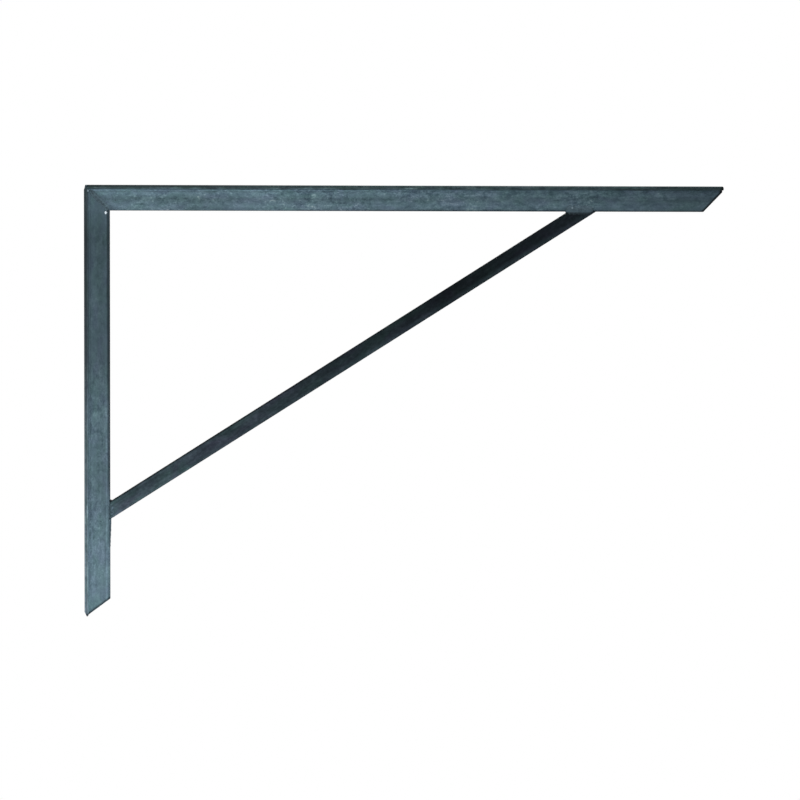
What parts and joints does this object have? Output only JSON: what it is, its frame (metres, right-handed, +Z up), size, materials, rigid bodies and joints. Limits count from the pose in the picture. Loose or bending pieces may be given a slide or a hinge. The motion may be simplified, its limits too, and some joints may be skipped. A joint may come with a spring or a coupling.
{
  "type": "shelf bracket",
  "caption": "Welded right-angle shelf bracket of T-section steel, mitred at the corner, with a flat-bar diagonal brace and screw holes in both flanges.",
  "frame": {"origin": "on the wall face and the mid-plane, halfway between the upper and lower wall screws", "axes": "+X out from the wall along the shelf arm, +Y along the wall, +Z up towards the shelf"},
  "size_m": [0.5, 0.02, 0.337],
  "materials": {
    "rolled_steel": "blue-grey mill scale of hot rolling, dull and mottled",
    "dark_flat_bar": "dark mill scale, nearly plain",
    "weld_metal": "rippled weld, dull"
  },
  "bodies": {
    "root": {"wall_leg": "rolled_steel", "shelf_arm": "rolled_steel", "brace": "dark_flat_bar", "corner_weld_outer": "weld_metal", "corner_weld_front": "weld_metal", "corner_weld_back": "weld_metal", "brace_head_weld": "weld_metal", "brace_foot_weld": "weld_metal"}
  },
  "joints": []
}
